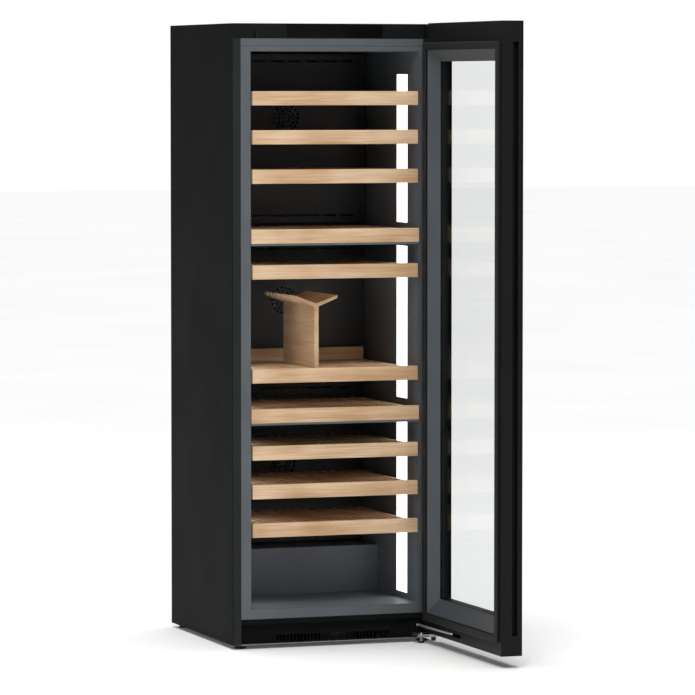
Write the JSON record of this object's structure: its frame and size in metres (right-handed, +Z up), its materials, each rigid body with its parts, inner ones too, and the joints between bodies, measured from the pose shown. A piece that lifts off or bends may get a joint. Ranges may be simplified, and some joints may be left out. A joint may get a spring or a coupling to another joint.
{
  "type": "wine cooler",
  "caption": "Tall black free-standing wine cooler with a full-glass door on the right, sliding beech shelves on runners, side light columns and zone dividers.",
  "frame": {"origin": "on the floor, in the middle of the rectangle of the four levelling feet", "axes": "+Z up, +X to the right across the front, -Y towards the person in front; the door stands open in +X at the front"},
  "size_m": [0.725, 1.3975, 2.044],
  "materials": {
    "black_sheet": "satin black powder-coated steel sheet",
    "grey_plastic": "smoke grey satin plastic frame",
    "liner": "black vacuum-formed interior",
    "foam": "polyurethane foam, out of sight",
    "galvanised": "galvanised steel sheet",
    "beech": "clear-oiled beech, fine straight grain",
    "dark_plastic": "charcoal satin plastic",
    "black_glass": "black glass touch panel",
    "clear_glass": "clear insulating glass",
    "gasket": "soft black magnetic gasket",
    "chrome": "bright chromed steel",
    "zinc_steel": "zinc-plated steel, satin",
    "runner_steel": "black coated steel runner",
    "light": "opal light diffuser",
    "aluminium_fins": "plain aluminium fins",
    "compressor_shell": "gloss black steel shell",
    "nylon": "dark nylon"
  },
  "bodies": {
    "cabinet": {"side_panel_left": "black_sheet", "side_panel_right": "black_sheet", "top_panel": "black_sheet", "rear_panel": "galvanised", "base_pan": "galvanised", "inner_liner": "liner", "foam_insulation": "foam", "front_frame": "grey_plastic", "front_crossbar": "black_sheet", "zone_dividers": "dark_plastic", "fixed_shelf_decks": "beech", "cabinet_runners": "runner_steel", "air_panel_top": "liner", "air_panel_middle": "liner", "air_panel_bottom": "liner", "evaporators": "aluminium_fins", "light_columns": "light", "control_fascia": "dark_plastic", "control_glass": "black_glass", "hinge_bracket_top": "zinc_steel", "hinge_cover_top": "dark_plastic", "hinge_bracket_bottom": "zinc_steel", "plinth_panel": "black_sheet", "compressor": "compressor_shell", "condenser": "aluminium_fins", "power_inlet": "dark_plastic", "rear_screws": "chrome", "rear_feet": "nylon"},
    "door": {"door_outer_glass": "clear_glass", "door_frame": "dark_plastic", "door_inner_frame": "grey_plastic", "door_inner_glass": "clear_glass", "glass_spacer": "chrome", "door_gasket": "gasket", "door_bushes": "nylon"},
    "damper_arm": {"damper_arm": "chrome"},
    "shelf_01": {"shelf_01_deck": "beech", "shelf_01_rails": "runner_steel"},
    "shelf_02": {"shelf_02_deck": "beech", "shelf_02_rails": "runner_steel"},
    "shelf_03": {"shelf_03_deck": "beech", "shelf_03_rails": "runner_steel"},
    "shelf_05": {"shelf_05_deck": "beech", "shelf_05_rails": "runner_steel"},
    "shelf_06": {"shelf_06_deck": "beech", "shelf_06_rails": "runner_steel", "bottle_fence": "beech", "glass_rack": "beech"},
    "shelf_08": {"shelf_08_deck": "beech", "shelf_08_rails": "runner_steel"},
    "shelf_09": {"shelf_09_deck": "beech", "shelf_09_rails": "runner_steel"},
    "shelf_10": {"shelf_10_deck": "beech", "shelf_10_rails": "runner_steel"},
    "fan_top": {"fan_top": "nylon"},
    "fan_middle": {"fan_middle": "nylon"},
    "fan_bottom": {"fan_bottom": "nylon"},
    "foot_front_left": {"foot_front_left": "nylon"},
    "foot_front_right": {"foot_front_right": "nylon"},
    "hinge_foot": {"hinge_foot": "nylon"}
  },
  "joints": [
    {"name": "door_hinge", "type": "hinge", "parent": "cabinet", "child": "door", "pos_m": [0.3305, -0.3755, 1], "axis": [0, 0, 1], "range_deg": [-90, 20]},
    {"name": "damper_swing", "type": "hinge", "parent": "cabinet", "child": "damper_arm", "pos_m": [0.29, -0.34, 0.058], "axis": [0, 0, 1], "range_deg": [-90, 20]},
    {"name": "shelf_01_slide", "type": "slide", "parent": "cabinet", "child": "shelf_01", "axis": [0, -1, 0], "range_m": [0, 0.3]},
    {"name": "shelf_02_slide", "type": "slide", "parent": "cabinet", "child": "shelf_02", "axis": [0, -1, 0], "range_m": [0, 0.3]},
    {"name": "shelf_03_slide", "type": "slide", "parent": "cabinet", "child": "shelf_03", "axis": [0, -1, 0], "range_m": [0, 0.3]},
    {"name": "shelf_05_slide", "type": "slide", "parent": "cabinet", "child": "shelf_05", "axis": [0, -1, 0], "range_m": [0, 0.3]},
    {"name": "shelf_06_slide", "type": "slide", "parent": "cabinet", "child": "shelf_06", "axis": [0, -1, 0], "range_m": [0, 0.3]},
    {"name": "shelf_08_slide", "type": "slide", "parent": "cabinet", "child": "shelf_08", "axis": [0, -1, 0], "range_m": [0, 0.3]},
    {"name": "shelf_09_slide", "type": "slide", "parent": "cabinet", "child": "shelf_09", "axis": [0, -1, 0], "range_m": [0, 0.3]},
    {"name": "shelf_10_slide", "type": "slide", "parent": "cabinet", "child": "shelf_10", "axis": [0, -1, 0], "range_m": [0, 0.3]},
    {"name": "fan_top_spin", "type": "hinge", "parent": "cabinet", "child": "fan_top", "pos_m": [0, 0.18, 1.73016], "axis": [0, 1, 0], "continuous": true},
    {"name": "fan_middle_spin", "type": "hinge", "parent": "cabinet", "child": "fan_middle", "pos_m": [0, 0.209, 1.11502], "axis": [0, 1, 0], "continuous": true},
    {"name": "fan_bottom_spin", "type": "hinge", "parent": "cabinet", "child": "fan_bottom", "pos_m": [0, 0.221, 0.5617], "axis": [0, 1, 0], "continuous": true},
    {"name": "foot_front_left_turn", "type": "hinge", "parent": "cabinet", "child": "foot_front_left", "pos_m": [-0.318, -0.3, 0.02], "axis": [0, 0, 1], "continuous": true},
    {"name": "foot_front_right_turn", "type": "hinge", "parent": "cabinet", "child": "foot_front_right", "pos_m": [0.318, -0.3, 0.02], "axis": [0, 0, 1], "continuous": true},
    {"name": "hinge_foot_turn", "type": "hinge", "parent": "cabinet", "child": "hinge_foot", "pos_m": [0.291, -0.365, 0.02], "axis": [0, 0, 1], "continuous": true}
  ],
  "couplings": [
    {"joint": "damper_swing", "follows": "door_hinge", "ratio": 1}
  ]
}
